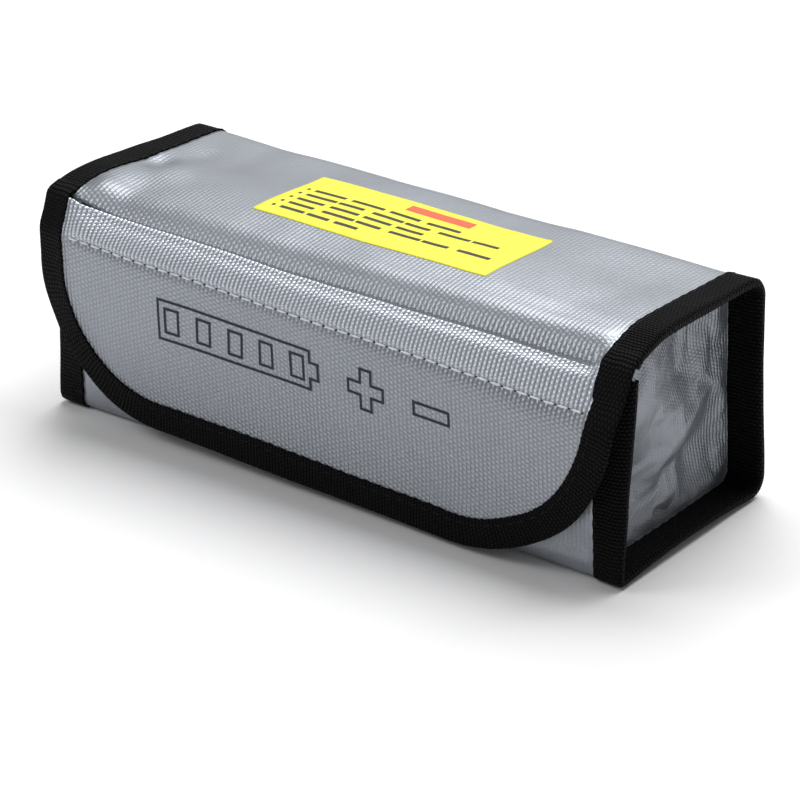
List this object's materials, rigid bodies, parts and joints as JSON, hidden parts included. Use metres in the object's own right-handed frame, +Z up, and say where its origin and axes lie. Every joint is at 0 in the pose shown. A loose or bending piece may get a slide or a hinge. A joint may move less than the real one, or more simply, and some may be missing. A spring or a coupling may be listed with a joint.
{
  "type": "battery charging bag",
  "caption": "Soft fire-resistant bag of coated glass cloth for charging model-aircraft batteries, with bound set-in ends and a rounded front flap closed by hook-and-loop tape.",
  "frame": {"origin": "middle of the bag's bounding box in X and Y with the flap closed, on the surface that the bag stands on", "axes": "+X along the bag's length, -Y towards the front wall and the flap, +Z up through the roof"},
  "size_m": [0.207, 0.0738, 0.0672],
  "materials": {
    "coated_cloth": "silver-grey aluminised coating on a fine woven glass cloth, soft metallic sheen",
    "lining_cloth": "pale uncoated woven glass cloth, dull",
    "binding_tape": "black ribbed woven tape, folded, matt",
    "black_thread": "black polyester thread",
    "white_thread": "white thread",
    "label_film": "yellow printed film, slight gloss",
    "printed_ink": "dark blue screen print",
    "loop_tape": "black looped pile",
    "hook_tape": "black hooks on a woven ground"
  },
  "bodies": {
    "bag": {"shell_wrap": "coated_cloth", "shell_lining": "lining_cloth", "left_end_panel": "coated_cloth", "right_end_panel": "coated_cloth", "left_end_lining": "lining_cloth", "right_end_lining": "lining_cloth", "left_end_binding": "binding_tape", "right_end_binding": "binding_tape", "left_end_binding_thread": "black_thread", "right_end_binding_thread": "black_thread", "mouth_binding": "binding_tape", "mouth_thread": "black_thread", "loop_strip": "loop_tape", "loop_strip_thread": "white_thread", "roof_label": "label_film"},
    "flap": {"flap_panel": "coated_cloth", "flap_facing": "lining_cloth", "flap_binding": "binding_tape", "flap_binding_thread": "black_thread", "flap_seam_thread": "white_thread", "flap_print": "printed_ink", "hook_strip": "hook_tape", "hook_strip_thread": "white_thread"}
  },
  "joints": [
    {"name": "flap_fold", "type": "hinge", "parent": "bag", "child": "flap", "pos_m": [0, -0.0374, 0.0677], "axis": [-1, 0, 0], "range_deg": [0, 260]}
  ]
}
